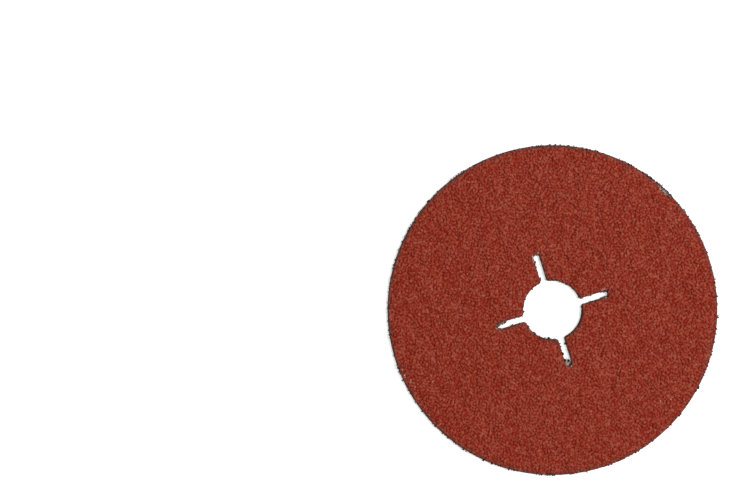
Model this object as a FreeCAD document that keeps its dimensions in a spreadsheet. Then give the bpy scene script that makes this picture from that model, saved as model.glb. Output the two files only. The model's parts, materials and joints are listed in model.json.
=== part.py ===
"""Resin fibre sanding disc for an angle grinder, 125 mm across with a 22 mm centre hole.

Two layers are bonded into one laminate: a hard vulcanised fibre backing and a coat of coarse
abrasive grain held in resin. One punch stroke cuts the rim, the centre hole and four relief
slots that run out from the hole, so both layers share one outline. The brittle coat crumbles
back a little from every punched edge, which leaves the thin dark line of bare fibre that runs
round the rim, the hole and the slots. The coat's face is rough: facets rise from the pits
between the grains to tips that all reach one level, as the grains of one grit size do.

The origin is on the hole's axis, on the back of the fibre, and +Z points out of the abrasive.
"""

import FreeCAD, Part
import math
import os
import random
import Sketcher

# Driving sizes in millimetres and degrees: alias, value, meaning.
SIZES = [
    ("disc_diameter", "125", "punched outside of the fibre"),
    ("hole_diameter", "22.2", "centre hole for the spindle flange"),
    ("slot_count", "4", "relief slots round the centre hole"),
    ("slot_width", "2.3", "gap between a slot's two sides"),
    ("slot_tip_radius", "21.8", "disc axis to a slot's round tip"),
    ("slot_mouth_radius", "1", "corner between the hole and a slot's side"),
    ("fibre_thickness", "0.84", "vulcanised fibre backing"),
    ("fibre_edge_break", "0.12", "corner pressed off the back by the punch"),
    ("coat_thickness", "1.15", "from the fibre to the grain tips"),
    ("coat_setback", "0.4", "bare fibre left at each punched edge"),
    ("coat_edge_fall", "1.2", "beside each edge the grain has crumbled down to pit level"),
    ("grain_relief", "0.6", "from the pits between the grains to the grain tips"),
    ("facet_spacing", "2.7", "between the corners of the facets that show the grain"),
    ("chip_length", "6.6", "piece broken out of the coat at the rim"),
    ("chip_depth", "1.2", "how far that piece reaches in from the coat's rim"),
    ("chip_bearing", "30", "turn from +X to the chip"),
]

doc = FreeCAD.newDocument("sanding_disc")


def make_sheet():
    """The sheet that every sketch and feature reads its sizes from."""
    sheet = doc.addObject("Spreadsheet::Sheet", "sizes")
    for row, (alias, value, meaning) in enumerate(SIZES, start=1):
        sheet.set(f"A{row}", meaning)
        sheet.set(f"B{row}", value)
        sheet.setAlias(f"B{row}", alias)
    doc.recompute()
    return sheet


def origin_feature(body, role):
    """A plane or axis of the body's own origin."""
    return [feature for feature in body.Origin.OriginFeatures if feature.Role == role][0]


def make_sketch(body, name):
    """An empty sketch on the XY plane of its own body."""
    sketch = body.newObject("Sketcher::SketchObject", name)
    sketch.AttachmentSupport = [(origin_feature(body, "XY_Plane"), "")]
    sketch.MapMode = "FlatFace"
    return sketch


def size_constraint(sketch, name, constraint, formula):
    """Adds a named dimension to the sketch and ties it to the sheet."""
    index = sketch.addConstraint(constraint)
    sketch.renameConstraint(index, name)
    sketch.setExpression(f"Constraints.{name}", formula)


def flat_circle(x, radius):
    """A circle in the sketch's plane with its centre on the X axis."""
    return Part.Circle(FreeCAD.Vector(x, 0, 0), FreeCAD.Vector(0, 0, 1), radius)


def circle_sketch(body, name, radius):
    """A circle about the disc's axis."""
    sketch = make_sketch(body, name)
    drawn_radius = 10
    sketch.addGeometry(flat_circle(0, drawn_radius), False)
    sketch.addConstraint(Sketcher.Constraint("Coincident", 0, 3, -1, 1))
    size_constraint(sketch, "radius", Sketcher.Constraint("Radius", 0, drawn_radius), radius)
    return sketch


def slot_sketch(body, name, half_width, tip_radius):
    """One slot along +X, from the disc's axis to its round tip."""
    sketch = make_sketch(body, name)
    half, far = 1, 20
    inner_low, outer_low = FreeCAD.Vector(0, -half, 0), FreeCAD.Vector(far, -half, 0)
    outer_high, inner_high = FreeCAD.Vector(far, half, 0), FreeCAD.Vector(0, half, 0)
    quarter_turn = math.pi / 2
    round_tip = Part.ArcOfCircle(flat_circle(far, half), -quarter_turn, quarter_turn)
    sketch.addGeometry(Part.LineSegment(inner_low, outer_low), False)
    sketch.addGeometry(round_tip, False)
    sketch.addGeometry(Part.LineSegment(outer_high, inner_high), False)
    sketch.addGeometry(Part.LineSegment(inner_high, inner_low), False)
    sketch.addConstraint(
        [
            Sketcher.Constraint("Tangent", 0, 2, 1, 1),
            Sketcher.Constraint("Tangent", 1, 2, 2, 1),
            Sketcher.Constraint("Coincident", 2, 2, 3, 1),
            Sketcher.Constraint("Coincident", 3, 2, 0, 1),
            Sketcher.Constraint("Horizontal", 0),
            Sketcher.Constraint("Horizontal", 2),
            Sketcher.Constraint("PointOnObject", 1, 3, -1),
            Sketcher.Constraint("PointOnObject", 0, 1, -2),
            Sketcher.Constraint("PointOnObject", 3, 1, -2),
        ]
    )
    size_constraint(sketch, "half_width", Sketcher.Constraint("Radius", 1, half), half_width)
    reach = Sketcher.Constraint("DistanceX", -1, 1, 1, 3, far)
    size_constraint(sketch, "tip_centre", reach, f"{tip_radius} - {half_width}")
    return sketch


def pad_up(body, sketch, name, length):
    """Pads a sketch by a size from the sheet."""
    pad = body.newObject("PartDesign::Pad", name)
    pad.Profile = sketch
    pad.setExpression("Length", length)
    doc.recompute()
    return pad


def punch_through(body, sketch, name):
    """Cuts a sketch right through the layer above it, and makes sure that it did."""
    before = body.Shape.Volume
    pocket = body.newObject("PartDesign::Pocket", name)
    pocket.Profile = sketch
    pocket.Type = "ThroughAll"
    pocket.Reversed = True
    doc.recompute()
    if body.Shape.Volume >= before:
        raise RuntimeError(f"{name} cut nothing")
    return pocket


def repeat_round_axis(body, feature, name, count):
    """Repeats a cut evenly about the disc's axis."""
    pattern = body.newObject("PartDesign::PolarPattern", name)
    pattern.Originals = [feature]
    pattern.Axis = (origin_feature(body, "Z_Axis"), [""])
    pattern.Angle = 360
    pattern.setExpression("Occurrences", count)
    body.Tip = pattern
    doc.recompute()
    return pattern


def upright_edges_at(shape, radius):
    """Names of the straight edges parallel to the axis that lie at this distance from it."""
    near = 1e-4
    names = []
    for number, edge in enumerate(shape.Edges, start=1):
        first, last = edge.Vertexes[0].Point, edge.Vertexes[-1].Point
        upright = abs(first.x - last.x) < near and abs(first.y - last.y) < near
        if upright and abs((first.x**2 + first.y**2) ** 0.5 - radius) < near:
            names.append(f"Edge{number}")
    return names


def flat_face_at(shape, height):
    """Name of the flat face that lies across the axis at this height."""
    near = 1e-4
    for number, face in enumerate(shape.Faces, start=1):
        if all(abs(vertex.Z - height) < near for vertex in face.Vertexes):
            return f"Face{number}"
    raise RuntimeError(f"no flat face at height {height}")


def dress_up(body, kind, name, base, parts, size_name, formula):
    """A fillet or chamfer on the named edges or faces of the last feature."""
    feature = body.newObject(f"PartDesign::{kind}", name)
    feature.Base = (base, parts)
    feature.setExpression(size_name, formula)
    body.Tip = feature
    doc.recompute()
    return feature


def punched_layer(label, thickness, setback):
    """One layer with the shared outline, set back from every punched edge."""
    body = doc.addObject("PartDesign::Body", label)
    body.Label = label
    rim = circle_sketch(body, f"{label}_rim", f"sizes.disc_diameter / 2 - {setback}")
    pad_up(body, rim, f"{label}_blank", thickness)
    hole = circle_sketch(body, f"{label}_hole", f"sizes.hole_diameter / 2 + {setback}")
    punch_through(body, hole, f"{label}_centre_hole")
    slot = slot_sketch(
        body,
        f"{label}_slot",
        f"(sizes.slot_width / 2 + {setback})",
        f"(sizes.slot_tip_radius + {setback})",
    )
    first_slot = punch_through(body, slot, f"{label}_relief_slot")
    slots = repeat_round_axis(body, first_slot, f"{label}_relief_slots", "sizes.slot_count")
    mouths = upright_edges_at(slots.Shape, hole.getDatum("radius").Value)
    corner = f"sizes.slot_mouth_radius - {setback}"
    return body, dress_up(body, "Fillet", f"{label}_slot_mouths", slots, mouths, "Radius", corner)


def make_fibre_backing():
    """The hard grey backing, with its back corners pressed off by the punch."""
    body, outline = punched_layer("fibre_backing", "sizes.fibre_thickness", "0")
    back = [flat_face_at(outline.Shape, 0)]
    dress_up(body, "Chamfer", "broken_back_edge", outline, back, "Size", "sizes.fibre_edge_break")
    return body


def make_coat_blank():
    """The coat before it has its grain, thicker than it ends up, with the chip in its rim."""
    blank_thickness = "sizes.coat_thickness + sizes.grain_relief"
    body, outline = punched_layer("coat_blank", blank_thickness, "sizes.coat_setback")
    body.setExpression("Placement.Base.z", "sizes.fibre_thickness")

    # The chip is the lens that a round bite takes out of the rim.
    half_chord = "(sizes.chip_length / 2)"
    bite = f"(({half_chord} ^ 2 + sizes.chip_depth ^ 2) / (2 * sizes.chip_depth))"
    bite_centre = f"(sizes.disc_diameter / 2 - sizes.coat_setback - sizes.chip_depth + {bite})"
    sketch = make_sketch(body, "rim_chip_bite")
    drawn_radius, far = 5, 65
    sketch.addGeometry(flat_circle(far, drawn_radius), False)
    sketch.addConstraint(Sketcher.Constraint("PointOnObject", 0, 3, -1))
    size_constraint(sketch, "bite_radius", Sketcher.Constraint("Radius", 0, drawn_radius), bite)
    reach = Sketcher.Constraint("DistanceX", -1, 1, 0, 3, far)
    size_constraint(sketch, "bite_centre", reach, bite_centre)
    sketch.setExpression("AttachmentOffset.Rotation.Angle", "sizes.chip_bearing")
    punch_through(body, sketch, "rim_chip")
    return body


def grain_height(x, y, foot, edges, chance):
    """Height of a corner of the grain's facets: by chance, but low where the coat has crumbled."""
    pits = sizes.fibre_thickness + sizes.coat_thickness - sizes.grain_relief
    below_pits, above_tips = -0.3, 1.4
    share = max(0, min(1, chance.uniform(below_pits, above_tips)))
    spot = Part.Vertex(x, y, sizes.fibre_thickness)
    outside = spot.distToShape(foot)[0] > 0
    if outside or spot.distToShape(edges)[0] < sizes.coat_edge_fall:
        return pits
    return pits + share * sizes.grain_relief


def facet_net(blank, lid_height):
    """Corners of an uneven net of facets over the coat, row by row, reaching past its rim.

    The rows are staggered. No corner passes the level of the grain tips, which many reach, but
    the net's own border lies up on the lid.
    """
    foot = blank.Shape.getElement(flat_face_at(blank.Shape, sizes.fibre_thickness))
    edges = Part.Compound(foot.Wires)
    scatter, shift = 58, 0.28
    chance = random.Random(scatter)
    row_step = sizes.facet_spacing * math.sqrt(3) / 2
    last = math.ceil(sizes.disc_diameter / 2 / row_step) + 1
    net = []
    for row in range(-last, last + 1):
        corners = []
        for column in range(-last, last + 1):
            x, y, z = (column + 0.5 * (row % 2)) * sizes.facet_spacing, row * row_step, lid_height
            if abs(row) < last and abs(column) < last:
                x += chance.uniform(-shift, shift) * sizes.facet_spacing
                y += chance.uniform(-shift, shift) * sizes.facet_spacing
                z = grain_height(x, y, foot, edges, chance)
            corners.append(FreeCAD.Vector(x, y, z))
        net.append(corners)
    return net


def make_grain_mould(blank):
    """A solid above the coat: its underside is the print of the grain, its back rises to a peak."""
    rim = sizes.disc_diameter / 2
    net = facet_net(blank, lid_height=rim / 4)
    width = len(net)
    corners = [corner for row in net for corner in row] + [FreeCAD.Vector(0, 0, 2 * rim)]
    peak = width * width
    facets = []
    for row in range(width - 1):
        shifted_above = (row + 1 - width // 2) % 2
        for column in range(width - 1):
            here, right = row * width + column, row * width + column + 1
            above, above_right = here + width, right + width
            if shifted_above:
                facets += [(here, above, right), (right, above, above_right)]
            else:
                facets += [(here, above_right, right), (here, above, above_right)]
    for step in range(width - 1):
        low, high = step, peak - width + step
        left, right = step * width, step * width + width - 1
        facets += [(low, low + 1, peak), (high + 1, high, peak)]
        facets += [(left + width, left, peak), (right, right + width, peak)]
    shell = Part.Shape()
    closed_within = 0.001
    shell.makeShapeFromMesh((corners, facets), closed_within)
    mould = doc.addObject("Part::Feature", "grain_mould")
    mould.Shape = Part.makeSolid(shell)
    return mould


def make_abrasive_coat():
    """The grain and resin: the blank with the grain's print in its face."""
    blank = make_coat_blank()
    mould = make_grain_mould(blank)
    coat = doc.addObject("Part::Cut", "abrasive_coat")
    coat.Label = "abrasive_coat"
    coat.Base = blank
    coat.Tool = mould
    doc.recompute()
    if coat.Shape.Volume >= blank.Shape.Volume:
        raise RuntimeError("the grain left no print")
    return coat


def check_and_export(bodies):
    """Stops on any failed feature or bad solid, then writes one STEP file for each body."""
    for thing in doc.Objects:
        if "Invalid" in thing.State or "Error" in thing.State:
            raise RuntimeError(f"{thing.Name} failed: {thing.State}")
    for body in bodies:
        shape = body.Shape
        if shape.isNull() or not shape.isValid() or len(shape.Solids) != 1:
            raise RuntimeError(f"{body.Label} is not one valid solid")
    os.makedirs("parts", exist_ok=True)
    for body in bodies:
        body.Shape.exportStep(f"parts/{body.Label}.step")
        box = body.Shape.BoundBox
        print(body.Label, round(body.Shape.Volume, 2), "mm3, z", box.ZMin, "to", box.ZMax)


sizes = make_sheet()
layers = [make_fibre_backing(), make_abrasive_coat()]
doc.recompute()
check_and_export(layers)
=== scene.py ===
import json
import math
import random

import bmesh
import bpy
import numpy as np
from mathutils import Matrix, Vector
from mathutils.bvhtree import BVHTree


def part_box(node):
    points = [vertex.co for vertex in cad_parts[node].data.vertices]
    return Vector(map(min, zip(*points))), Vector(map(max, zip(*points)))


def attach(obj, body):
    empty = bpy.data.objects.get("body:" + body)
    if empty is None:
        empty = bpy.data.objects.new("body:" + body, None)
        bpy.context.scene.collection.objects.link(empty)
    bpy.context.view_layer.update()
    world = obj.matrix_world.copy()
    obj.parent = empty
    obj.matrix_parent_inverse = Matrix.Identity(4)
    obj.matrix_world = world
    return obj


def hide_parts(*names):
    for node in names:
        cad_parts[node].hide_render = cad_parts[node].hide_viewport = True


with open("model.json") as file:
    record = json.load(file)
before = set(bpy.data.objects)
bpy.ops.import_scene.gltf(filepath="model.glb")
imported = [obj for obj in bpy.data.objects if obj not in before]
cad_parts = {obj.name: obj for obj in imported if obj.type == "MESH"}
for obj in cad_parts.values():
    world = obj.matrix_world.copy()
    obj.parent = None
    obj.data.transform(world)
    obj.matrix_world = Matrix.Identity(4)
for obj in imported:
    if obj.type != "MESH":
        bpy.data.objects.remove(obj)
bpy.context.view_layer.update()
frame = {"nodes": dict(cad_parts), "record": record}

mm = 0.001


# The punched outline. The layers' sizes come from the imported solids.
fibreLow, fibreHigh = [Vector(corner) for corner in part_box("fibre_backing")]
coatLow, coatHigh = [Vector(corner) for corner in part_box("abrasive_coat")]
spindleHole = [mount for mount in frame["record"]["mounts"] if mount["name"] == "centre_hole"][0]

outline = {
    "rimRadius": fibreHigh.x,
    "holeRadius": spindleHole["dims"]["r_mm"] * mm,
    "slots": 4,
    "slotHalfWidth": 1.15 * mm,
    "slotTipRadius": 21.8 * mm,
    "mouthRadius": 1.0 * mm,
}


def edgeDistance(x, y):
    # How far points of the disc lie from the nearest punched edge, negative off the disc.
    # Where a slot meets the hole, the mouth is rounded.
    radius = np.hypot(x, y)
    turn = np.arctan2(y, x)
    step = 2 * math.pi / outline["slots"]
    offAxis = turn - step * np.round(turn / step)
    pastTip = radius * np.cos(offAxis) - outline["slotTipRadius"] + outline["slotHalfWidth"]
    slot = np.hypot(np.maximum(pastTip, 0), radius * np.sin(offAxis)) - outline["slotHalfWidth"]
    hole = radius - outline["holeRadius"]
    shortHole, shortSlot = outline["mouthRadius"] - hole, outline["mouthRadius"] - slot
    mouth = outline["mouthRadius"] - np.hypot(shortHole, shortSlot)
    inner = np.where((shortHole > 0) & (shortSlot > 0), mouth, np.minimum(hole, slot))
    return np.minimum(inner, outline["rimRadius"] - radius)


leastSteep = 0.2  # squared slope of a distance; below this it doesn't lead to an edge


def slope(distance, x, y):
    # How fast a distance grows along x and along y
    step = 0.02 * mm
    across = (distance(x + step, y) - distance(x - step, y)) / (2 * step)
    up = (distance(x, y + step) - distance(x, y - step)) / (2 * step)
    return across, up


def waves(x, y, width, seed):
    # Smooth random unevenness, about this wide and about one high: sine waves in all directions
    chance = random.Random(seed)
    summed, shortest, longest = 14, 0.7, 1.4
    total = 0
    for _ in range(summed):
        turn, phase = chance.uniform(0, 2 * math.pi), chance.uniform(0, 2 * math.pi)
        stretch = 2 * math.pi / (width * chance.uniform(shortest, longest))
        total = total + np.sin((x * math.cos(turn) + y * math.sin(turn)) * stretch + phase)
    return total * math.sqrt(2 / summed)


crumbling = {
    "setback": fibreHigh.x - coatHigh.x,  # bare fibre beside every punched edge
    "foot": 0.2 * mm,  # the resin ran out over the bare fibre
    "waves": ((15 * mm, 0.06 * mm), (3.4 * mm, 0.1 * mm), (1.3 * mm, 0.08 * mm)),  # width and depth
    "bites": (  # bearing from +X in degrees, length and depth of what broke out at the rim
        (30, 6.6 * mm, 1.2 * mm),
        (37, 5.0 * mm, 0.35 * mm),
        (78, 3.4 * mm, 0.45 * mm),
        (66, 5.0 * mm, 0.3 * mm),
        (252, 3.2 * mm, 0.35 * mm),
    ),
}


def coatDistance(x, y):
    # The same for the coat, which has crumbled back from the punched edges
    inset = edgeDistance(x, y) - crumbling["setback"] + crumbling["foot"]
    for bearing, length, depth in crumbling["bites"]:
        radius = ((length / 2) ** 2 + depth**2) / (2 * depth)  # of the arc that bites so long and so deep
        reach, turn = coatHigh.x - depth + radius, math.radians(bearing)
        biteX, biteY = reach * math.cos(turn), reach * math.sin(turn)
        inset = np.minimum(inset, np.hypot(x - biteX, y - biteY) - radius)
    for seed, (width, depth) in enumerate(crumbling["waves"]):
        inset = inset + depth * waves(x, y, width, seed)
    return inset


# Materials

def linearColour(hexColour):
    channels = [int(hexColour[at:at + 2], 16) / 255 for at in (1, 3, 5)]
    linear = [c / 12.92 if c <= 0.04045 else ((c + 0.055) / 1.055) ** 2.4 for c in channels]
    return (*linear, 1)


def addNode(tree, kind, settings, links=()):
    # Settings that start with a capital or are numbers are input sockets, the rest are the node's own
    node = tree.nodes.new(kind)
    for name, value in settings.items():
        if isinstance(name, int) or name[0].isupper():
            node.inputs[name].default_value = value
        else:
            setattr(node, name, value)
    for name, source in dict(links).items():
        tree.links.new(source, node.inputs[name])
    return node


def newMaterial(name):
    material = bpy.data.materials.new(name)
    material.use_nodes = True
    material.node_tree.nodes.clear()
    return material, material.node_tree


resin = {
    "deep": "#8b2c19",  # resin tinted with iron oxide
    "warm": "#943521",
    # pit: resin pooled between the grains, darkened further as painted shade
    "pit": "#851804",
    # tip: thin resin over the grain, paled further as a painted sheen
    "tip": "#a85b47",
    # edge: fibre dust soiling along the punched edges, and painted shade at the foot of broken walls
    "edge": "#4a3c37",  # soiled with fibre dust by the punch
    "bare": "#c9aaa0",  # grain with the resin knocked off
    "cloudWidth": 4.5 * mm,
    "cloudFade": (0.35, 0.65),  # noise values between which one tone turns into the other
    "mottleWidth": 0.35 * mm,
    "mottleFade": (0.35, 0.6),
    "frostWidth": 0.09 * mm,
    "frostHeight": 0.006 * mm,
    "roughness": (0.45, 0.62),
    "roughFade": (0.3, 0.7),
    "ior": 1.5,
    "gloss": 0.1,  # dusty, so it shines less than clean resin
}


def resinOverGrain():
    # Phenolic size resin flowed over crushed alumina: satin; darker in the pits, from pooled resin and
    # painted shade, and paler on the tips, from thin resin and a painted sheen
    material, tree = newMaterial("phenolicResinOverCrushedAlumina")
    place = addNode(tree, "ShaderNodeTexCoord", {}).outputs["Object"]
    cloud = addNode(
        tree, "ShaderNodeTexNoise", {"Scale": 1 / resin["cloudWidth"], "Detail": 2.0}, {"Vector": place}
    ).outputs["Fac"]
    mottle = addNode(
        tree, "ShaderNodeTexNoise", {"Scale": 1 / resin["mottleWidth"], "Detail": 3.0}, {"Vector": place}
    ).outputs["Fac"]
    tint, outOfPit, soil, bare = [
        addNode(
            tree, "ShaderNodeAttribute", {"attribute_name": name, "attribute_type": "GEOMETRY"}
        ).outputs["Fac"]
        for name in ("grainTint", "grainRise", "edgeSoilAndShade", "grainBare")
    ]
    rise = addNode(
        tree, "ShaderNodeMapRange", {"interpolation_type": "SMOOTHSTEP"}, {"Value": outOfPit}
    ).outputs[0]

    low, high = resin["cloudFade"]
    cloudShare = addNode(
        tree, "ShaderNodeMapRange", {"From Min": low, "From Max": high}, {"Value": cloud}
    ).outputs[0]
    body = addNode(
        tree, "ShaderNodeMix",
        {"data_type": "RGBA", 6: linearColour(resin["deep"]), 7: linearColour(resin["warm"])},
        {0: cloudShare},
    ).outputs[2]
    pitsPooledAndShaded = addNode(
        tree, "ShaderNodeMix", {"data_type": "RGBA", 6: linearColour(resin["pit"])}, {0: rise, 7: body}
    ).outputs[2]
    # Paler tips, from thin resin and a painted sheen, growing with the grain's rise out of the pits
    thinTipsAndSheen = addNode(tree, "ShaderNodeMath", {"operation": "MULTIPLY"}, {0: tint, 1: rise}).outputs[0]
    low, high = resin["mottleFade"]
    patchy = addNode(
        tree, "ShaderNodeMapRange", {"From Min": low, "From Max": high}, {"Value": mottle}
    ).outputs[0]
    tipShare = addNode(
        tree, "ShaderNodeMath", {"operation": "MULTIPLY"}, {0: thinTipsAndSheen, 1: patchy}
    ).outputs[0]
    tipped = addNode(
        tree, "ShaderNodeMix",
        {"data_type": "RGBA", 7: linearColour(resin["tip"])},
        {0: tipShare, 6: pitsPooledAndShaded},
    ).outputs[2]
    soiledAndShaded = addNode(
        tree, "ShaderNodeMix", {"data_type": "RGBA", 7: linearColour(resin["edge"])}, {0: soil, 6: tipped}
    ).outputs[2]
    colour = addNode(
        tree, "ShaderNodeMix", {"data_type": "RGBA", 7: linearColour(resin["bare"])}, {0: bare, 6: soiledAndShaded}
    ).outputs[2]

    low, high = resin["roughFade"]
    smooth, rough = resin["roughness"]
    roughness = addNode(
        tree, "ShaderNodeMapRange",
        {"From Min": low, "From Max": high, "To Min": smooth, "To Max": rough},
        {"Value": mottle},
    ).outputs[0]
    frost = addNode(
        tree, "ShaderNodeTexNoise", {"Scale": 1 / resin["frostWidth"], "Detail": 2.0}, {"Vector": place}
    ).outputs["Fac"]
    bump = addNode(
        tree, "ShaderNodeBump", {"Strength": 1.0, "Distance": resin["frostHeight"]}, {"Height": frost}
    ).outputs[0]
    shader = addNode(
        tree, "ShaderNodeBsdfPrincipled", {"IOR": resin["ior"], "Specular IOR Level": resin["gloss"]},
        {"Base Color": colour, "Roughness": roughness, "Normal": bump},
    )
    addNode(tree, "ShaderNodeOutputMaterial", {}, {"Surface": shader.outputs[0]})
    return material


fibre = {
    "face": "#4b4847",
    "fleck": "#5f5b58",
    "edge": "#3b2a24",
    "margin": "#4a342d",  # resin that bled over the bare fibre beside the coat
    "bledDepth": (0.2 * mm, 0.02 * mm),  # below the coated face, where the bled resin fades in
    "cloudWidth": 9 * mm,
    "fleckLength": 2.4 * mm,
    "fleckWidth": 0.22 * mm,
    "fleckSwirl": 0.6,
    "fleckFade": (0.18, 0.42),  # noise values between which one tone turns into the other
    "punchedFlatness": (0.85, 0.35),  # upright part of a face's normal as the plies come into view
    "plyThickness": 0.12 * mm,
    "plyStretch": 12,  # length of a mark between the plies over its thickness
    "calenderHeight": 0.006 * mm,
    "plyHeight": 0.03 * mm,
    "roughness": (0.42, 0.6),
    "roughFade": (0.3, 0.7),
    "ior": 1.53,
    "gloss": 0.2,
}


def vulcanisedFibre():
    # Cotton paper plies fused and calendered: horn-like grey with faint fibre flecks,
    # and the plies show where it was punched
    material, tree = newMaterial("calenderedVulcanisedFibre")
    place = addNode(tree, "ShaderNodeTexCoord", {}).outputs["Object"]
    height = addNode(tree, "ShaderNodeSeparateXYZ", {}, {0: place}).outputs["Z"]
    facing = addNode(tree, "ShaderNodeNewGeometry", {}).outputs["True Normal"]
    upward = addNode(tree, "ShaderNodeSeparateXYZ", {}, {0: facing}).outputs["Z"]
    flatness = addNode(tree, "ShaderNodeMath", {"operation": "ABSOLUTE"}, {0: upward}).outputs[0]
    low, high = fibre["punchedFlatness"]
    punched = addNode(
        tree, "ShaderNodeMapRange", {"From Min": low, "From Max": high}, {"Value": flatness}
    ).outputs[0]
    deep, shallow = fibre["bledDepth"]
    bled = addNode(
        tree, "ShaderNodeMapRange",
        {"From Min": fibreHigh.z - deep, "From Max": fibreHigh.z - shallow},
        {"Value": height},
    ).outputs[0]
    cloud = addNode(
        tree, "ShaderNodeTexNoise", {"Scale": 1 / fibre["cloudWidth"], "Detail": 4.0}, {"Vector": place}
    ).outputs["Fac"]
    alongGrain = (1 / fibre["fleckLength"], 1 / fibre["fleckWidth"], 1 / fibre["fleckWidth"])
    stretched = addNode(tree, "ShaderNodeMapping", {"Scale": alongGrain}, {"Vector": place}).outputs[0]
    fleck = addNode(
        tree, "ShaderNodeTexNoise",
        {"Scale": 1.0, "Detail": 3.0, "Distortion": fibre["fleckSwirl"]},
        {"Vector": stretched},
    ).outputs["Fac"]
    alongPly = fibre["plyStretch"] * fibre["plyThickness"]
    acrossPlies = (1 / alongPly, 1 / alongPly, 1 / fibre["plyThickness"])
    layered = addNode(tree, "ShaderNodeMapping", {"Scale": acrossPlies}, {"Vector": place}).outputs[0]
    ply = addNode(
        tree, "ShaderNodeTexNoise", {"Scale": 1.0, "Detail": 2.0}, {"Vector": layered}
    ).outputs["Fac"]

    mixture = addNode(tree, "ShaderNodeMath", {"operation": "MULTIPLY"}, {0: cloud, 1: fleck}).outputs[0]
    low, high = fibre["fleckFade"]
    fleckShare = addNode(
        tree, "ShaderNodeMapRange", {"From Min": low, "From Max": high}, {"Value": mixture}
    ).outputs[0]
    face = addNode(
        tree, "ShaderNodeMix",
        {"data_type": "RGBA", 6: linearColour(fibre["face"]), 7: linearColour(fibre["fleck"])},
        {0: fleckShare},
    ).outputs[2]
    cut = addNode(
        tree, "ShaderNodeMix",
        {"data_type": "RGBA", 6: linearColour(fibre["edge"]), 7: linearColour(fibre["face"])},
        {0: ply},
    ).outputs[2]
    dry = addNode(tree, "ShaderNodeMix", {"data_type": "RGBA"}, {0: punched, 6: face, 7: cut}).outputs[2]
    colour = addNode(
        tree, "ShaderNodeMix", {"data_type": "RGBA", 7: linearColour(fibre["margin"])}, {0: bled, 6: dry}
    ).outputs[2]

    low, high = fibre["roughFade"]
    smooth, rough = fibre["roughness"]
    roughness = addNode(
        tree, "ShaderNodeMapRange",
        {"From Min": low, "From Max": high, "To Min": smooth, "To Max": rough},
        {"Value": fleck},
    ).outputs[0]
    calender = addNode(
        tree, "ShaderNodeBump", {"Strength": 1.0, "Distance": fibre["calenderHeight"]}, {"Height": fleck}
    ).outputs[0]
    plyDepth = addNode(tree, "ShaderNodeMath", {"operation": "MULTIPLY"}, {0: ply, 1: punched}).outputs[0]
    bump = addNode(
        tree, "ShaderNodeBump", {"Strength": 1.0, "Distance": fibre["plyHeight"]},
        {"Height": plyDepth, "Normal": calender},
    ).outputs[0]
    shader = addNode(
        tree, "ShaderNodeBsdfPrincipled", {"IOR": fibre["ior"], "Specular IOR Level": fibre["gloss"]},
        {"Base Color": colour, "Roughness": roughness, "Normal": bump},
    )
    addNode(tree, "ShaderNodeOutputMaterial", {}, {"Surface": shader.outputs[0]})
    return material


resinMaterial = resinOverGrain()
fibreMaterial = vulcanisedFibre()
print("materials made")


def addPiece(name, mesh, material):
    piece = bpy.data.objects.new(name, mesh)
    bpy.context.scene.collection.objects.link(piece)
    mesh.materials.clear()
    mesh.materials.append(material)
    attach(piece, "root")
    return piece


def meshFrom(shape, name):
    mesh = bpy.data.meshes.new(name)
    shape.to_mesh(mesh)
    shape.free()
    return mesh


def triangles(mesh):
    return sum(len(polygon.vertices) - 2 for polygon in mesh.polygons)


# Abrasive grain: crushed shards dropped on the wet make coat

grit = {
    "seed": 24,
    "tries": 200000,
    "widths": (0.55 * mm, 1.45 * mm),
    "sizeSpread": (0.55, 1.1),  # how far the widths stray from their even shrinking
    "packing": 0.76,  # spacing over mean width
    "edgeGap": 0.15 * mm,
    "sides": 5,
    "sideShift": (-0.3, 0.3),  # of a side round the shard, over the sides' even step
    "girth": (0.7, 1.15),  # from a shard's middle to each side, over half its width
    "reach": 0.62,  # how far out a shard is worked out, over the greatest width
    "steepness": (58, 80),  # of a shard's sides, in degrees
    "topTilt": (3, 24),  # of the two facets on top
    "topTurn": (0.6, 1.4),  # between the ways these two face, in half turns
    "top": (-0.1 * mm, 0.1 * mm),  # above or below the solid coat's own relief
    "clump": (2.2 * mm, 0.04 * mm),  # width and height of the smaller swells in the tops
}

bed = {
    "depth": 0.4 * mm,  # from the solid coat's relief down to the resin between the grains
    "wave": (0.9 * mm, 0.03 * mm),
    "film": 0.035 * mm,  # resin over the grains: rounds their edges and fills their corners
    "tint": 0.3,  # that of a grain runs from 0 to 1
    "shoulder": 0.45 * mm,  # the coat thins over this width beside an edge
    "shoulderDrop": 0.6,
}


def scatterGrains():
    # Big grains come first, then ever smaller ones in the gaps that are left
    dice = np.random.default_rng(grit["seed"])
    tries = grit["tries"]
    spots = dice.uniform(-coatHigh.x, coatHigh.x, (tries, 2))
    small, big = grit["widths"]
    shrinking = np.linspace(1, 0, tries) * dice.uniform(*grit["sizeSpread"], tries)
    widths = small + (big - small) * shrinking.clip(0, 1)
    inside = coatDistance(spots[:, 0], spots[:, 1]) > grit["edgeGap"]
    grid, grains = {}, []
    for (x, y), width in zip(spots[inside].tolist(), widths[inside].tolist()):
        column, row = math.floor(x / big), math.floor(y / big)
        near = [
            other
            for a in (column - 1, column, column + 1)
            for b in (row - 1, row, row + 1)
            for other in grid.get((a, b), ())
        ]
        if all(math.hypot(x - ox, y - oy) > grit["packing"] * (width + ow) / 2 for ox, oy, ow in near):
            grid.setdefault((column, row), []).append((x, y, width))
            grains.append((x, y, width))
    return np.array(grains)


coat = {
    "cells": 352,  # grid cells along the side of each quarter
    "spare": 6,  # and beyond it, for grains at the rim
    "span": fibreHigh.x,
    "crumbledTo": 0.55 * mm,  # the solid coat's height at its edges
    "slide": 1.5,  # grid cells that a node may slide to reach the coat's edge
}
pitch = coat["span"] / coat["cells"]
middleNode = coat["cells"] + coat["spare"]


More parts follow.
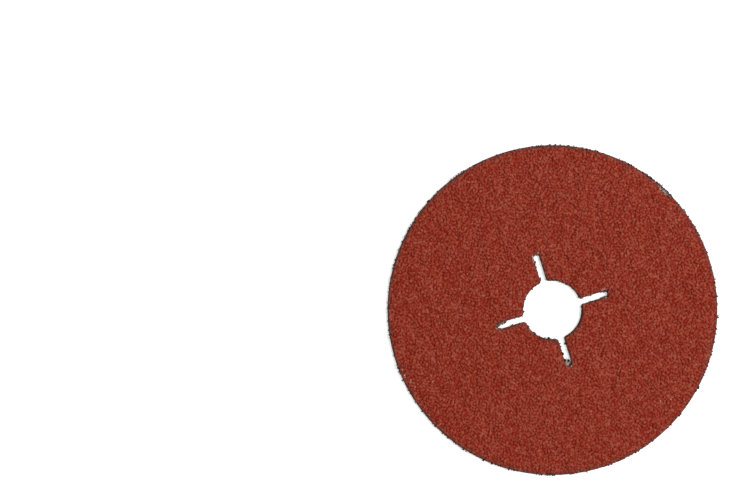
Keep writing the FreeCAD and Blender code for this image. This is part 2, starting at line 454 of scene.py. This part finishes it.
def solidRelief():
    # Height of the solid coat's faceted face at the grid's nodes, above the fibre
    coatNode = frame["nodes"]["abrasive_coat"]
    faces = [polygon.vertices[:] for polygon in coatNode.data.polygons]
    facets = BVHTree.FromPolygons([vertex.co for vertex in coatNode.data.vertices], faces)
    places = (np.arange(-middleNode, middleNode + 1) * pitch).tolist()
    down, above = Vector((0, 0, -1)), 2 * coatHigh.z
    hits = [facets.ray_cast(Vector((x, y, above)), down)[0] for x in places for y in places]
    bare = coatLow.z + coat["crumbledTo"]
    heights = [bare if hit is None else max(hit.z, bare) for hit in hits]
    return np.array(heights).reshape(len(places), -1) - coatLow.z


def readGrid(values, x, y):
    # The value between the four nodes round each place
    a, b = x / pitch + middleNode, y / pitch + middleNode
    row, column = np.floor(a).astype(int), np.floor(b).astype(int)
    a, b = a - row, b - column
    low = values[row, column] * (1 - b) + values[row, column + 1] * b
    high = values[row + 1, column] * (1 - b) + values[row + 1, column + 1] * b
    return low * (1 - a) + high * a


def resinSkin(grains):
    # At the grid's nodes: the resin skin's height above the fibre, its rise out of the pits and
    # the grain's tint. Every shard is the lowest of its planes and the skin the highest of all
    # shards, both blended over the film.
    dice = np.random.default_rng(grit["seed"] + 1)
    x, y, width = grains.T
    count, film = len(grains), bed["film"]
    reach = math.ceil(grit["reach"] * grit["widths"][1] / pitch)
    around = np.arange(-reach, reach + 1)
    rows = np.rint(x / pitch).astype(int)[:, None] + around + middleNode
    columns = np.rint(y / pitch).astype(int)[:, None] + around + middleNode
    dx = ((rows - middleNode) * pitch - x[:, None])[:, :, None]
    dy = ((columns - middleNode) * pitch - y[:, None])[:, None, :]

    relief = solidRelief()
    clumpWidth, clumpHeight = grit["clump"]
    top = readGrid(relief, x, y) + clumpHeight * waves(x, y, clumpWidth, grit["seed"])
    level = top - bed["depth"]
    top = top + dice.uniform(*grit["top"], count)
    facets = np.zeros((count, len(around), len(around)))

    def addFacet(height, turn, steepness):
        fall = np.tan(np.radians(steepness))
        fallX, fallY = (fall * np.cos(turn))[:, None, None], (fall * np.sin(turn))[:, None, None]
        plane = height[:, None, None] - fallX * dx - fallY * dy
        np.add(facets, np.exp(-plane / film), out=facets)

    spin = dice.uniform(0, 2 * math.pi, count)
    for side in range(grit["sides"]):
        turn = spin + 2 * math.pi * (side + dice.uniform(*grit["sideShift"], count)) / grit["sides"]
        steepness = dice.uniform(*grit["steepness"], count)
        reachOut = width / 2 * dice.uniform(*grit["girth"], count)
        addFacet(level + reachOut * np.tan(np.radians(steepness)), turn, steepness)
    ridge = dice.uniform(0, 2 * math.pi, count)
    addFacet(top, ridge, dice.uniform(*grit["topTilt"], count))
    ridge = ridge + math.pi * dice.uniform(*grit["topTurn"], count)
    addFacet(top, ridge, dice.uniform(*grit["topTilt"], count))

    places = np.arange(-middleNode, middleNode + 1) * pitch
    waveWidth, waveHeight = bed["wave"]
    bedWaves = waveHeight * waves(places[:, None], places[None, :], waveWidth, grit["seed"] + 2)
    skin = np.exp((relief - bed["depth"] + bedWaves) / film)
    tint = bed["tint"] * skin
    spots = (rows[:, :, None], columns[:, None, :])
    np.add.at(skin, spots, 1 / facets)
    np.add.at(tint, spots, dice.uniform(0, 1, count)[:, None, None] / facets)
    height = film * np.log(skin)
    pit, tip = relief - bed["depth"], relief
    return height, ((height - pit) / (tip - pit)).clip(0, 1), tint / skin


grains = scatterGrains()
skinHeight, skinRise, skinTint = resinSkin(grains)
print("grains:", len(grains))


def coatTop(x, y):
    # Level of the coat's skin, thinned beside its edges
    inset = coatDistance(x, y)
    thinning = 1 - bed["shoulderDrop"] * (1 - (inset / bed["shoulder"]).clip(0, 1)) ** 2
    return coatLow.z + readGrid(skinHeight, x, y) * thinning


def makeCoatQuarter(name, sideX, sideY):
    # A quarter of the coat as a closed solid: grained skin, broken edges and a flat underside
    half = coat["span"] / 2
    middle = Matrix.Translation((sideX * half, sideY * half, 0))
    shape = bmesh.new()
    bmesh.ops.create_grid(
        shape, x_segments=coat["cells"], y_segments=coat["cells"], size=half, matrix=middle
    )
    places = np.array([vert.co[:2] for vert in shape.verts])
    inset = coatDistance(places[:, 0], places[:, 1])
    outside = [face for face in shape.faces if sum(inset[vert.index] for vert in face.verts) < 0]
    bmesh.ops.delete(shape, geom=outside, context="FACES")

    border = [vert for vert in shape.verts if vert.is_boundary]
    places = np.array([vert.co[:2] for vert in border])
    inset = coatDistance(places[:, 0], places[:, 1])
    slopeX, slopeY = slope(coatDistance, places[:, 0], places[:, 1])
    onSeamX, onSeamY = np.abs(places[:, 0]) < pitch / 2, np.abs(places[:, 1]) < pitch / 2
    slopeX, slopeY = np.where(onSeamX, 0, slopeX), np.where(onSeamY, 0, slopeY)
    steep = slopeX**2 + slopeY**2
    slides = (np.abs(inset) < coat["slide"] * pitch) & (steep > leastSteep)
    move = np.where(slides, inset / np.maximum(steep, leastSteep), 0)
    for vert, x, y in zip(border, (move * slopeX).tolist(), (move * slopeY).tolist()):
        vert.co.x -= x
        vert.co.y -= y

    places = np.array([vert.co[:2] for vert in shape.verts])
    for vert, z in zip(shape.verts, coatTop(places[:, 0], places[:, 1]).tolist()):
        vert.co.z = z

    for face in shape.faces:
        face.smooth = True
    rim = [edge for edge in shape.edges if edge.is_boundary]
    wall = bmesh.ops.extrude_edge_only(shape, edges=rim)["geom"]
    for item in wall:
        if isinstance(item, bmesh.types.BMVert):
            item.co.z = coatLow.z
    foot = [edge for edge in shape.edges if edge.is_boundary]
    bmesh.ops.triangle_fill(shape, use_beauty=False, use_dissolve=False, edges=foot)
    for edge in rim + foot:
        edge.smooth = False
    bmesh.ops.recalc_face_normals(shape, faces=shape.faces)
    return meshFrom(shape, name)


bareGrains = {
    "seed": 61,
    "radius": (0.2 * mm, 0.4 * mm),
    "paleness": (0.3, 0.9),
    # middles in mm from the axis, spread in mm and number where knocks took the resin off
    "knocks": (
        ((-60.4, -7.2), 0.8, 5), ((-59.2, -9.6), 1.0, 6), ((-57.9, -12.0), 0.8, 4),
        ((-51.4, -12.8), 0.2, 1), ((-38.6, 43.4), 0.3, 2), ((-44.7, 31.5), 0.3, 1),
        ((-58.5, 17.0), 2.5, 4), ((-52.0, 30.0), 2.5, 3), ((30.0, -48.0), 8.0, 4),
        ((20.0, 35.0), 12.0, 4),
    ),
}


def bareness(x, y):
    # How far the grain shows through the resin
    dice = np.random.default_rng(bareGrains["seed"])
    bare = 0 * x
    for (middleX, middleY), spread, number in bareGrains["knocks"]:
        for _ in range(number):
            knockX, knockY = dice.normal((middleX * mm, middleY * mm), spread * mm)
            radius, paleness = dice.uniform(*bareGrains["radius"]), dice.uniform(*bareGrains["paleness"])
            away = np.hypot(x - knockX, y - knockY) / radius
            whole = (2 - 2 * away).clip(0, 1)  # out to half the radius, and fading from there
            bare = np.maximum(bare, paleness * whole)
    return bare


soilAndFootShade = {
    "seed": 41,
    "reach": 1.4 * mm,  # inwards from the coat's punched edge; where a chip broke out later it is clean
    "unevenness": 0.55,
    "unevenWidth": 2.6 * mm,
    "leastReach": 0.3,  # over the reach
    "strength": (0.5, 1.0),  # round the hole and its slots, and at the rim
    "wornTips": 0.6,  # less of it on the tips of the grain
    # painted shade: the foot of a broken wall this near the punched edge gets the full edge colour
    "wall": 0.6 * mm,  # a broken wall this near the punched edge is dark at its foot
    "shadeFootHeight": 0.01 * mm,
}


def paintCoat(mesh):
    # Attributes that the resin's colour reads
    places = np.empty(len(mesh.vertices) * 3)
    mesh.vertices.foreach_get("co", places)
    x, y, z = places.reshape(-1, 3).T
    rise = readGrid(skinRise, x, y)
    uneven = soilAndFootShade["unevenness"] * waves(x, y, soilAndFootShade["unevenWidth"], soilAndFootShade["seed"])
    reach = soilAndFootShade["reach"] * (1 + uneven)
    inset = edgeDistance(x, y) - crumbling["setback"] + crumbling["foot"]
    soil = (1 - inset / np.maximum(reach, soilAndFootShade["leastReach"] * soilAndFootShade["reach"])).clip(0, 1)
    inner, outer = soilAndFootShade["strength"]
    soil = soil * np.where(np.hypot(x, y) < coatHigh.x / 2, inner, outer)
    soil = soil * (1 - soilAndFootShade["wornTips"] * rise)
    # Painted shade: the bottom ring of a broken wall near a punched edge takes the edge colour in full
    paintedShadeFoot = (z < coatLow.z + soilAndFootShade["shadeFootHeight"]) & (edgeDistance(x, y) < soilAndFootShade["wall"])
    painted = {
        "grainTint": readGrid(skinTint, x, y),
        "grainRise": rise,
        "edgeSoilAndShade": np.where(paintedShadeFoot, 1, soil),
        "grainBare": bareness(x, y) * rise,
    }
    for label, values in painted.items():
        mesh.attributes.new(label, "FLOAT", "POINT").data.foreach_set("value", values.astype(np.float32))


bakeMap = {
    "margin": 2 * mm,
    "wallRise": 0.01,  # a face whose normal rises less than this is a wall
    "undersideRise": -0.5,  # less than this is the underside
    "undersidePlace": 0.74,  # in the corner that the round rim leaves free, over the coat's span
    "undersideScale": 0.25,
}


def planFromAbove(mesh):
    # The map for the bake: the skin as seen from above, the walls laid flat outside it
    # and the underside small in the free corner
    layer = mesh.uv_layers.new(name="OFBake")
    corners = np.empty(len(mesh.loops), int)
    mesh.loops.foreach_get("vertex_index", corners)
    places = np.empty(len(mesh.vertices) * 3)
    mesh.vertices.foreach_get("co", places)
    places = places.reshape(-1, 3)[corners]
    normals = np.empty(len(mesh.polygons) * 3)
    mesh.polygons.foreach_get("normal", normals)
    sizes = np.empty(len(mesh.polygons), int)
    mesh.polygons.foreach_get("loop_total", sizes)
    normals = np.repeat(normals.reshape(-1, 3), sizes, axis=0)

    flat = places[:, :2].copy()
    walls = np.abs(normals[:, 2]) < bakeMap["wallRise"]
    flat[walls] += normals[walls, :2] * (coatHigh.z - places[walls, 2:])
    flat = np.sign(places[:, :2].mean(0)) * flat
    hidden = normals[:, 2] < bakeMap["undersideRise"]
    flat[hidden] = bakeMap["undersidePlace"] * coat["span"] + bakeMap["undersideScale"] * flat[hidden]
    plan = (flat + bakeMap["margin"]) / (coat["span"] + 2 * bakeMap["margin"])
    layer.uv.foreach_set("vector", plan.ravel().astype(np.float32))


quarters = {"NorthEast": (1, 1), "NorthWest": (-1, 1), "SouthWest": (-1, -1), "SouthEast": (1, -1)}
for name, (sideX, sideY) in quarters.items():
    mesh = makeCoatQuarter("grainCoat" + name, sideX, sideY)
    paintCoat(mesh)
    planFromAbove(mesh)
    piece = addPiece("grainCoat" + name, mesh, resinMaterial)
    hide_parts("abrasive_coat")
    print("coat", name, triangles(mesh), "triangles")


# Fibre backing: the CAD node keeps its shape and gets its finish

backing = frame["nodes"]["fibre_backing"]
backing.data.materials.clear()
backing.data.materials.append(fibreMaterial)
print("fibre dressed")


# Torn edge: what the punch left standing at the rim, the hole and the slots, and dark shreds that paint
# shade beside the hole and the plug

def alongStretch(start, end, spread, dice):
    # A place near a stretch between two places that are given as radius in mm and bearing in degrees
    radius, bearing = Vector(start).lerp(Vector(end), dice.uniform())
    turn = math.radians(bearing)
    x, y = radius * mm * math.cos(turn), radius * mm * math.sin(turn)
    x, y = x + dice.normal(0, spread * mm), y + dice.normal(0, spread * mm)
    covered = coatDistance(x, y) > 0
    return Vector((x, y, float(coatTop(x, y)) if covered else fibreHigh.z))


torn = {
    "charredAndShade": "#1a1513",
    "soaked": "#5e3b2f",
    "dry": "#a89c93",
    "soakedAt": 0.35,  # the tint at which a shred is plain resin-soaked fibre
    "patchWidth": 0.25 * mm,
    "patchShare": 0.5,
    "roughness": 0.8,
    "ior": 1.5,
    "gloss": 0.1,
}


def tornFibre():
    # Torn fibre soaked with resin: matt, charred black to dry grey, no two tufts alike; the black also
    # serves as painted shade
    material, tree = newMaterial("tornFibreSoakedInResin")
    place = addNode(tree, "ShaderNodeTexCoord", {}).outputs["Object"]
    patch = addNode(
        tree, "ShaderNodeTexNoise", {"Scale": 1 / torn["patchWidth"], "Detail": 2.0}, {"Vector": place}
    ).outputs["Fac"]
    tint = addNode(
        tree, "ShaderNodeAttribute", {"attribute_name": "shredTint", "attribute_type": "GEOMETRY"}
    ).outputs["Fac"]
    share = addNode(
        tree, "ShaderNodeMath", {"operation": "MULTIPLY_ADD", 1: torn["patchShare"]}, {0: patch, 2: tint}
    ).outputs[0]
    charredAt = torn["patchShare"] / 2
    soakedAt, dryAt = charredAt + torn["soakedAt"], charredAt + 1
    soaked = addNode(
        tree, "ShaderNodeMapRange", {"From Min": charredAt, "From Max": soakedAt}, {"Value": share}
    ).outputs[0]
    dry = addNode(
        tree, "ShaderNodeMapRange", {"From Min": soakedAt, "From Max": dryAt}, {"Value": share}
    ).outputs[0]
    dark = addNode(
        tree, "ShaderNodeMix",
        {"data_type": "RGBA", 6: linearColour(torn["charredAndShade"]), 7: linearColour(torn["soaked"])},
        {0: soaked},
    ).outputs[2]
    colour = addNode(
        tree, "ShaderNodeMix", {"data_type": "RGBA", 7: linearColour(torn["dry"])}, {0: dry, 6: dark}
    ).outputs[2]
    shader = addNode(
        tree, "ShaderNodeBsdfPrincipled",
        {"IOR": torn["ior"], "Specular IOR Level": torn["gloss"], "Roughness": torn["roughness"]},
        {"Base Color": colour},
    )
    addNode(tree, "ShaderNodeOutputMaterial", {}, {"Surface": shader.outputs[0]})
    return material


burrs = {
    "seed": 31,
    "tries": 14000,
    "band": 0.5 * mm,  # a trial place this near an edge becomes a burr
    "lengths": (0.0, 0.5 * mm),  # past the edge
    "fewLong": 1.7,  # the higher, the fewer long ones
    "widths": (0.25 * mm, 1.1 * mm),
    "heights": (0.3 * mm, 1.4 * mm),  # torn through several plies
    "rooted": 0.25 * mm,
    "levels": (0.3 * mm, 1.15 * mm),  # above the table
    "lean": 18,  # degrees off square to the edge
    "tints": (0.0, 0.7),
}

shreds = {
    "sides": 5,
    "tip": 0.38,  # radius at the tip over the width at the root
    "ragged": 0.14,
    "height": 0.8,  # over the width
    "widths": (0.4, 0.8),  # over the length
    "rise": 0.2,  # spread of how steeply they point up or down
    "lowest": 0.03 * mm,  # above the table
    "sunk": 0.3 * mm,  # at most, below the level of what is round them
    # radius in mm and bearing in degrees at both ends of each torn stretch,
    # its spread in mm, the number of shreds, their lengths in mm and their tints
    "stretches": {
        "chipRim": ((62.35, 40.0), (62.35, 26.5), 0.15, 90, (0.4, 0.9), (0.0, 0.25)),
        "chipPatch": ((62.1, 38.6), (62.1, 35.4), 0.18, 34, (0.35, 0.8), (0.0, 0.5)),
        "chipMiddle": ((62.2, 33.8), (62.2, 30.6), 0.22, 40, (0.4, 0.8), (0.0, 0.5)),
        "chipLow": ((62.15, 30.5), (61.9, 27.2), 0.3, 46, (0.35, 0.8), (0.0, 0.6)),
        "chipInner": ((61.5, 32.4), (61.3, 28.4), 0.25, 18, (0.3, 0.6), (0.0, 0.3)),
        "plug": ((20.3, -91.6), (21.5, -91.0), 0.45, 48, (0.5, 1.0), (0.5, 1.5)),
        # painted shade: near-black shreds along the plug's inner border
        "plugShadeLeft": ((19.4, -92.9), (19.7, -92.5), 0.1, 8, (0.5, 0.9), (0.0, 0.1)),
        "plugShadeRight": ((20.0, -89.9), (20.3, -89.2), 0.12, 14, (0.6, 1.0), (0.0, 0.02)),
        "plugSide": ((20.4, -87.9), (21.5, -87.0), 0.12, 12, (0.4, 0.8), (0.1, 0.4)),
        # painted shade: dark shreds at the plug's outer end
        "plugFoot": ((22.0, -90.8), (21.6, -87.6), 0.15, 18, (0.5, 0.9), (0.05, 0.3)),
        "plugNub": ((17.2, -93.6), (17.1, -92.9), 0.08, 8, (0.4, 0.7), (0.0, 0.05)),
        "leftSlot": ((21.8, 179.0), (18.6, 176.9), 0.17, 52, (0.4, 1.0), (0.1, 0.9)),
        "topSlotTip": ((22.0, 90.5), (22.4, 87.5), 0.15, 12, (0.4, 0.8), (0.3, 0.9)),
        "rightSlotLip": ((18.6, -3.3), (21.6, -2.9), 0.1, 18, (0.3, 0.7), (0.0, 0.4)),
        "rightSlotTip": ((19.4, 3.6), (22.2, 1.6), 0.1, 20, (0.3, 0.7), (0.0, 0.5)),
        "holeNub": ((10.7, -114.8), (10.6, -114.2), 0.06, 6, (0.5, 0.9), (0.0, 0.1)),
        "holeLip": ((11.2, -106.0), (11.5, -99.0), 0.15, 18, (0.4, 0.9), (0.0, 0.6)),
        "holeBurnt": ((11.5, -133.0), (11.4, -99.0), 0.15, 60, (0.3, 0.7), (0.0, 0.25)),
        # painted shade: near-black and dark brown shreds along the hole's side that faces away from the key
        # stand in for its shaded wall
        "holeShadeBlack": ((11.35, -82.0), (11.35, -11.0), 0.1, 130, (0.35, 0.7), (0.0, 0.15)),
        "holeShadeBrown": ((11.4, 8.0), (11.4, 62.0), 0.12, 70, (0.3, 0.6), (0.05, 0.35)),
        "mouthNub": ((12.7, 94.6), (12.8, 94.0), 0.06, 5, (0.5, 0.8), (0.0, 0.2)),
    },
}


def burrRoots(dice):
    # Places all along the punched edges, and the directions out of the edge there
    x, y = dice.uniform(-fibreHigh.x, fibreHigh.x, (2, burrs["tries"]))
    near = np.abs(edgeDistance(x, y)) < burrs["band"]
    x, y = x[near], y[near]
    inset = edgeDistance(x, y)
    slopeX, slopeY = slope(edgeDistance, x, y)
    steep = np.maximum(slopeX**2 + slopeY**2, leastSteep)
    x, y = x - inset * slopeX / steep, y - inset * slopeY / steep
    return zip(x.tolist(), y.tolist(), (-slopeX).tolist(), (-slopeY).tolist())


def addShred(shape, root, out, size, tint, dice):
    # A small ragged cone from its root outwards, its size across, upwards and along
    out = out.normalized()
    place = Matrix.LocRotScale(root + out * size.z / 2, out.to_track_quat("Z", "Y"), size)
    cone = bmesh.ops.create_cone(
        shape, cap_ends=True, segments=shreds["sides"],
        radius1=0.5, radius2=shreds["tip"], depth=1, matrix=place,
    )["verts"]
    tintLayer = shape.verts.layers.float["shredTint"]
    for vert in cone:
        vert[tintLayer] = tint
        vert.co += Vector(dice.uniform(-1, 1, 3)) * shreds["ragged"] * min(size.y, size.z)
        vert.co.z = max(vert.co.z, shreds["lowest"])


def addBurrs(shape):
    dice = np.random.default_rng(burrs["seed"])
    for x, y, outX, outY in burrRoots(dice):
        shortest, longest = burrs["lengths"]
        length = shortest + (longest - shortest) * dice.uniform() ** burrs["fewLong"]
        sideways, upwards = dice.normal(0, math.radians(burrs["lean"]), 2)
        out = Matrix.Rotation(sideways, 3, "Z") @ Vector((outX, outY, 0)).normalized()
        out.z = math.tan(upwards / 2)
        root = Vector((x, y, dice.uniform(*burrs["levels"]))) - burrs["rooted"] * out
        size = (dice.uniform(*burrs["widths"]), dice.uniform(*burrs["heights"]), burrs["rooted"] + length)
        addShred(shape, root, out, Vector(size), dice.uniform(*burrs["tints"]), dice)


def addTornStretches(shape):
    dice = np.random.default_rng(burrs["seed"] + 1)
    for start, end, spread, number, lengths, tints in shreds["stretches"].values():
        for _ in range(number):
            place = alongStretch(start, end, spread, dice)
            place.z -= dice.uniform(0, shreds["sunk"])
            facing, length = dice.uniform(0, 2 * math.pi), dice.uniform(*lengths) * mm
            out = Vector((math.cos(facing), math.sin(facing), dice.normal(0, shreds["rise"])))
            root = place - out * length / 2
            width = length * dice.uniform(*shreds["widths"])
            size = Vector((width, shreds["height"] * width, length))
            addShred(shape, root, out, size, dice.uniform(*tints), dice)


def makeBurrs():
    shape = bmesh.new()
    shape.verts.layers.float.new("shredTint")
    addBurrs(shape)
    addTornStretches(shape)
    bmesh.ops.recalc_face_normals(shape, faces=shape.faces)
    return meshFrom(shape, "punchBurrs")


tornMaterial = tornFibre()
burrMesh = makeBurrs()
addPiece("punchBurrs", burrMesh, tornMaterial)
print("burrs:", triangles(burrMesh), "triangles")


# Broken grain: bits of fractured alumina left where the coat broke away

crumbs = {
    "seed": 53,
    "white": "#c9c0bb",
    "pink": "#b98a80",
    "roughness": 0.5,
    "ior": 1.6,
    "gloss": 0.3,
    "ragged": 0.28,
    # as above: both ends, spread, number, widths in mm and share of pink
    "stretches": {
        "chip": ((61.8, 32.2), (61.5, 28.6), 0.3, 30, (0.25, 0.5), (0.1, 0.9)),
        "chipSpecks": ((62.1, 34.8), (62.1, 34.0), 0.15, 4, (0.25, 0.45), (0.5, 1.0)),
        "chipLow": ((61.8, 28.8), (61.6, 27.8), 0.3, 8, (0.25, 0.4), (0.3, 0.9)),
        "plug": ((20.4, -91.2), (21.6, -90.4), 0.4, 14, (0.3, 0.55), (0.0, 0.6)),
        "plugFoot": ((22.1, -88.9), (22.3, -88.3), 0.12, 5, (0.3, 0.5), (0.4, 0.9)),
        "leftSlot": ((22.6, -179.2), (22.3, -178.4), 0.12, 5, (0.3, 0.5), (0.3, 0.9)),
        "topSlot": ((21.7, 93.6), (19.5, 94.2), 0.16, 20, (0.35, 0.6), (0.4, 1.0)),
        "topSlotTip": ((22.4, 88.1), (22.5, 87.5), 0.1, 4, (0.3, 0.5), (0.5, 1.0)),
        "rightSlot": ((19.5, 5.6), (21.9, 4.6), 0.14, 12, (0.3, 0.55), (0.6, 1.0)),
        "rightSlotLip": ((20.4, -4.0), (21.4, -3.6), 0.1, 8, (0.3, 0.5), (0.4, 0.9)),
    },
}


def fracturedAlumina():
    # Freshly broken alumina: glassy facets, white where clean and pink where resin still clings
    material, tree = newMaterial("fracturedAlumina")
    share = addNode(
        tree, "ShaderNodeAttribute", {"attribute_name": "pinkShare", "attribute_type": "GEOMETRY"}
    ).outputs["Fac"]
    colour = addNode(
        tree, "ShaderNodeMix",
        {"data_type": "RGBA", 6: linearColour(crumbs["white"]), 7: linearColour(crumbs["pink"])},
        {0: share},
    ).outputs[2]
    shader = addNode(
        tree, "ShaderNodeBsdfPrincipled",
        {"IOR": crumbs["ior"], "Specular IOR Level": crumbs["gloss"], "Roughness": crumbs["roughness"]},
        {"Base Color": colour},
    )
    addNode(tree, "ShaderNodeOutputMaterial", {}, {"Surface": shader.outputs[0]})
    return material


def makeCrumbs():
    dice = np.random.default_rng(crumbs["seed"])
    shape = bmesh.new()
    pinkLayer = shape.verts.layers.float.new("pinkShare")
    for start, end, spread, number, widths, shares in crumbs["stretches"].values():
        for _ in range(number):
            place = Matrix.Translation(alongStretch(start, end, spread, dice))
            width, share = dice.uniform(*widths) * mm, dice.uniform(*shares)
            ball = bmesh.ops.create_icosphere(shape, subdivisions=1, radius=width / 2, matrix=place)
            for vert in ball["verts"]:
                vert[pinkLayer] = share
                vert.co += Vector(dice.uniform(-1, 1, 3)) * crumbs["ragged"] * width
    bmesh.ops.recalc_face_normals(shape, faces=shape.faces)
    return meshFrom(shape, "brokenGrains")


crumbMesh = makeCrumbs()
addPiece("brokenGrains", crumbMesh, fracturedAlumina())
print("broken grains:", triangles(crumbMesh), "triangles")


# Studio: white table, soft key from the right of the view, camera looking straight down

studio = {
    "viewTurn": math.radians(17),  # the view's right lies this far clockwise of +X
    "cameraHeight": 300 * mm,
    "cameraRight": -67.22 * mm,  # of the disc's axis, along the view
    "cameraUp": 22.75 * mm,
    "pixelsPerMm": 2.64,
    "imageWidth": 750,
    "sensor": 36.0,
    "tableSize": 3.0,
    "table": "#f4f4f3",
    "tableRoughness": 0.9,
    "tableGlow": 0.42,
    "keyAzimuth": math.radians(18),  # up from the view's right
    "keyElevation": math.radians(48),
    "keyDistance": 1.2,
    "keySize": 0.45,
    "keyPower": 9.5,
    "skyStrength": 0.55,
}

viewRight = Vector((math.cos(studio["viewTurn"]), -math.sin(studio["viewTurn"]), 0))
viewUp = Vector((math.sin(studio["viewTurn"]), math.cos(studio["viewTurn"]), 0))


def tableMaterial():
    # Matt lacquered board: even white that keeps the disc's shadow; its glow is for the camera alone
    material, tree = newMaterial("whiteLacqueredBoard")
    shader = addNode(
        tree, "ShaderNodeBsdfPrincipled",
        {"Base Color": linearColour(studio["table"]), "Roughness": studio["tableRoughness"]},
    )
    white = addNode(tree, "ShaderNodeEmission", {"Color": (1, 1, 1, 1), "Strength": studio["tableGlow"]})
    seen = addNode(tree, "ShaderNodeLightPath", {}).outputs["Is Camera Ray"]
    nothing = addNode(tree, "ShaderNodeEmission", {"Strength": 0.0})
    glow = addNode(tree, "ShaderNodeMixShader", {}, {0: seen, 1: nothing.outputs[0], 2: white.outputs[0]})
    both = addNode(tree, "ShaderNodeAddShader", {}, {0: shader.outputs[0], 1: glow.outputs[0]})
    addNode(tree, "ShaderNodeOutputMaterial", {}, {"Surface": both.outputs[0]})
    return material


def makeTable():
    shape = bmesh.new()
    bmesh.ops.create_grid(shape, x_segments=1, y_segments=1, size=studio["tableSize"] / 2)
    table = bpy.data.objects.new("table", meshFrom(shape, "table"))
    table.data.materials.append(tableMaterial())
    bpy.context.scene.collection.objects.link(table)


def makeLight():
    lamp = bpy.data.lights.new("keySoftbox", "AREA")
    lamp.size = studio["keySize"]
    lamp.energy = studio["keyPower"]
    key = bpy.data.objects.new("keySoftbox", lamp)
    bpy.context.scene.collection.objects.link(key)
    level = viewRight * math.cos(studio["keyAzimuth"]) + viewUp * math.sin(studio["keyAzimuth"])
    toward = level * math.cos(studio["keyElevation"]) + Vector((0, 0, math.sin(studio["keyElevation"])))
    key.location = toward * studio["keyDistance"]
    key.rotation_euler = toward.to_track_quat("Z", "Y").to_euler()

    world = bpy.data.worlds.new("paleStudio")
    bpy.context.scene.world = world
    world.use_nodes = True
    world.node_tree.nodes["Background"].inputs["Color"].default_value = (1, 1, 1, 1)
    world.node_tree.nodes["Background"].inputs["Strength"].default_value = studio["skyStrength"]


def makeCamera():
    lens = bpy.data.cameras.new("overheadCamera")
    camera = bpy.data.objects.new("overheadCamera", lens)
    bpy.context.scene.collection.objects.link(camera)
    spanAtDisc = studio["imageWidth"] / studio["pixelsPerMm"] * mm
    lens.sensor_width = studio["sensor"]
    lens.lens = studio["sensor"] * (studio["cameraHeight"] - fibreHigh.z) / spanAtDisc
    lens.clip_start = 10 * mm
    camera.location = viewRight * studio["cameraRight"] + viewUp * studio["cameraUp"]
    camera.location.z = studio["cameraHeight"]
    camera.rotation_euler = (0, 0, -studio["viewTurn"])
    bpy.context.scene.camera = camera


makeTable()
makeLight()
makeCamera()
bpy.context.scene.view_settings.view_transform = "Standard"
print("studio made")
